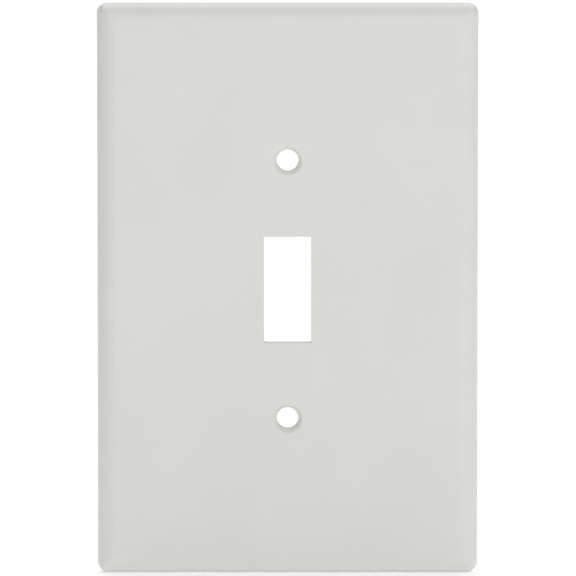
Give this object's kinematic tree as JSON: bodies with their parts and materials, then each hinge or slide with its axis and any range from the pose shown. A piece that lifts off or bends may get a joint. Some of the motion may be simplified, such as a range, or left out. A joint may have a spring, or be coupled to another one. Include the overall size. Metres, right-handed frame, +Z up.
{
  "type": "toggle switch wall plate",
  "caption": "Oversize wall plate with rolled edges, a toggle slot and countersunk screw holes, carrying its mounting screws in snap keepers on the back.",
  "frame": {"origin": "centre of the plane where the plate's rim meets the wall", "axes": "+Z up the wall, +Y into the wall, so the front face looks along -Y, and +X to the right seen from the front"},
  "size_m": [0.0888, 0.0084, 0.1334],
  "materials": {
    "moulded_plate": "smooth moulded thermoset, semi-gloss off-white",
    "painted_screw": "zinc-plated steel with an enamelled off-white head"
  },
  "bodies": {
    "plate": {"wall_plate": "moulded_plate"},
    "left_screw": {"left_mounting_screw": "painted_screw"},
    "right_screw": {"right_mounting_screw": "painted_screw"}
  },
  "joints": [
    {"name": "left_screw_slide", "type": "slide", "parent": "plate", "child": "left_screw", "axis": [0, 0, 1], "range_m": [0, 0.0108]},
    {"name": "right_screw_slide", "type": "slide", "parent": "plate", "child": "right_screw", "axis": [0, 0, 1], "range_m": [0, 0.0108]}
  ]
}
